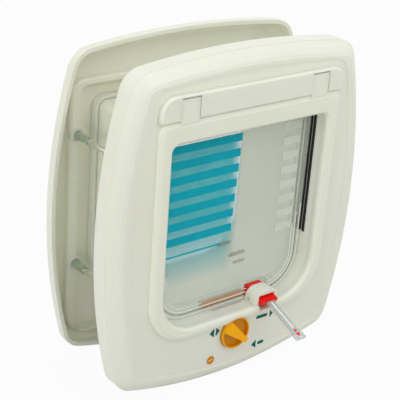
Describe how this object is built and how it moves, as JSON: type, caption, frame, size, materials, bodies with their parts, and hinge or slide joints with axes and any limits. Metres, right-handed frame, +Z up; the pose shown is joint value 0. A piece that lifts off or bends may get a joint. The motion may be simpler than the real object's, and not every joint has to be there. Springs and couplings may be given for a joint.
{
  "type": "cat flap",
  "caption": "Cat flap for a door: bowed indoor and outdoor frames, tunnel, clear swinging flap, four-position lock knob and tipping passage indicator.",
  "frame": {"origin": "middle of the plane where the indoor frame meets the door, level with the widest place of the frames", "axes": "+X to the right and +Z up as seen from indoors, +Y through the door to the outdoors"},
  "size_m": [0.225, 0.1335, 0.2505],
  "materials": {
    "ivory_plastic": "satin ivory ABS",
    "steel": "bright steel",
    "zinc_steel": "dull zinc plate",
    "clear_plastic": "clear moulded plastic",
    "teal_print": "printed ink",
    "pale_print": "pale printed ink",
    "magnet": "brown bonded magnet",
    "black_brush": "black pile",
    "yellow_plastic": "satin yellow plastic",
    "red_plastic": "satin red plastic"
  },
  "bodies": {
    "frame": {"front_frame": "ivory_plastic", "front_tunnel": "ivory_plastic", "rear_frame": "ivory_plastic", "rear_tunnel": "ivory_plastic", "hinge_cover": "ivory_plastic", "indicator_hood": "ivory_plastic", "hinge_bush_left": "ivory_plastic", "hinge_bush_right": "ivory_plastic", "hinge_axle": "steel", "indicator_pin": "steel", "screws": "steel", "sleeve_nuts": "zinc_steel", "sill_magnet": "magnet", "seal_left": "black_brush", "seal_right": "black_brush"},
    "flap": {"flap_panel": "clear_plastic", "flap_stripes": "teal_print", "flap_pale_stripes": "pale_print", "flap_magnet": "magnet"},
    "lock": {"knob": "yellow_plastic", "knob_shaft": "yellow_plastic", "lock_cam_in": "yellow_plastic", "lock_cam_out": "yellow_plastic", "knob_clip": "steel"},
    "indicator": {"indicator_rocker": "red_plastic", "indicator_pointer": "clear_plastic"}
  },
  "joints": [
    {"name": "flap_swing", "type": "hinge", "parent": "frame", "child": "flap", "pos_m": [0, -0.006, 0.076], "axis": [1, 0, 0], "range_deg": [-55, 68]},
    {"name": "lock_turn", "type": "hinge", "parent": "frame", "child": "lock", "pos_m": [0, -0.01, -0.088], "axis": [0, -1, 0], "range_deg": [-180, 90]},
    {"name": "indicator_tip", "type": "hinge", "parent": "frame", "child": "indicator", "pos_m": [0.028, -0.0135, -0.0686], "axis": [1, 0, 0], "range_deg": [-12, 0]}
  ]
}
